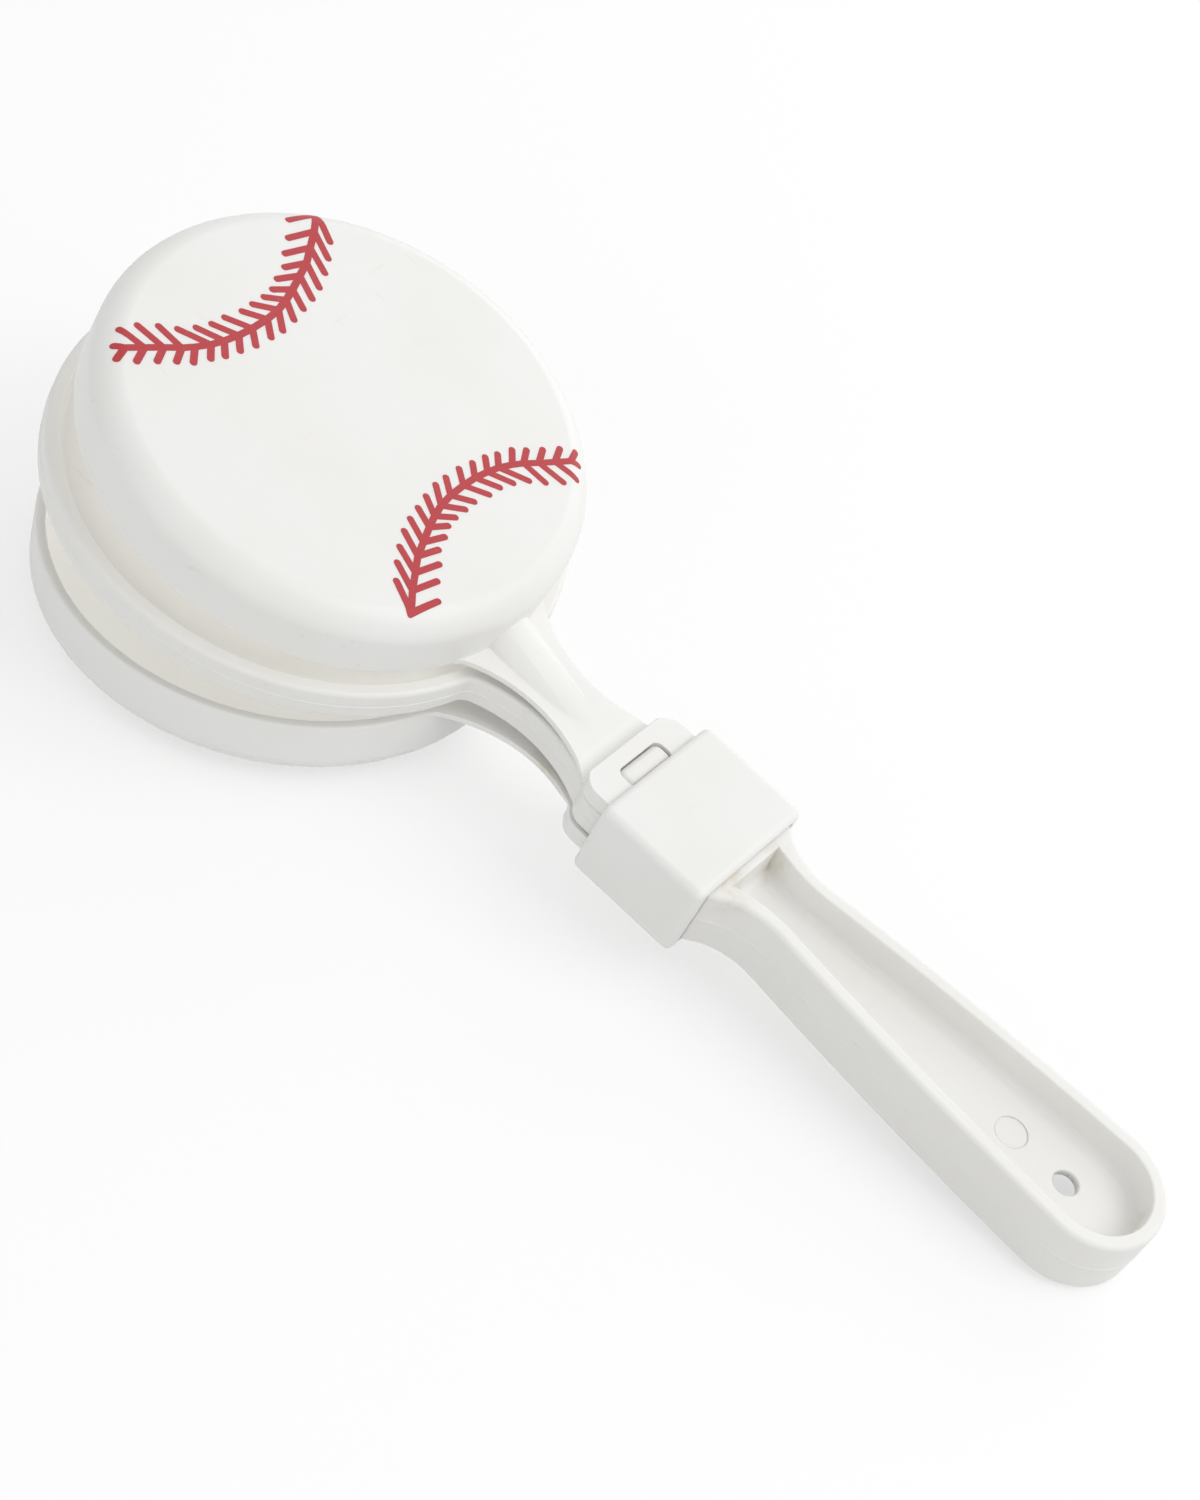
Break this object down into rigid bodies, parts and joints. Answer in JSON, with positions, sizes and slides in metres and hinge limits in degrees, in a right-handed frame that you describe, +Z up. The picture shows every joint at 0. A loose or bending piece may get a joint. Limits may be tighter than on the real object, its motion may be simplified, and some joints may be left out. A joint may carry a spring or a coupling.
{
  "type": "hand clapper",
  "caption": "Hand clapper noisemaker: a flat round paddle on a recessed handle, with a shallow round cup hinged on each face and a square collar that locks both.",
  "frame": {"origin": "centre of the bounding box on the plane that the clapper rests on", "axes": "+X from the cups towards the end of the handle, +Y across the handle, +Z up; it lies on its lower cup and the end of its handle, so the paddle slopes down towards +X by about 6 degrees"},
  "size_m": [0.213, 0.0848, 0.053],
  "materials": {
    "paddle_plastic": "moulded white plastic, satin",
    "collar_plastic": "moulded white plastic, satin",
    "cup_plastic": "moulded white plastic, glossy face"
  },
  "bodies": {
    "paddle": {"centre_paddle": "paddle_plastic", "collar_sleeve": "collar_plastic", "upper_locking_tab": "cup_plastic", "lower_locking_tab": "cup_plastic", "upper_hinge_web": "cup_plastic", "lower_hinge_web": "cup_plastic"},
    "upper_clapper": {"upper_clapper_cup": "cup_plastic"},
    "lower_clapper": {"lower_clapper_cup": "cup_plastic"}
  },
  "joints": [
    {"name": "upper_hinge", "type": "hinge", "parent": "paddle", "child": "upper_clapper", "pos_m": [-0.00038, 0, 0.0215], "axis": [0, 1, 0], "range_deg": [-5.2, 45], "stiffness_Nm_per_rad": 0.9, "springref_deg": 0.52, "deforming": ["upper_hinge_web"]},
    {"name": "lower_hinge", "type": "hinge", "parent": "paddle", "child": "lower_clapper", "pos_m": [-0.00115, 0, 0.01479], "axis": [0, -1, 0], "range_deg": [-8.5, 45], "stiffness_Nm_per_rad": 0.9, "springref_deg": 1.83, "deforming": ["lower_hinge_web"]}
  ]
}
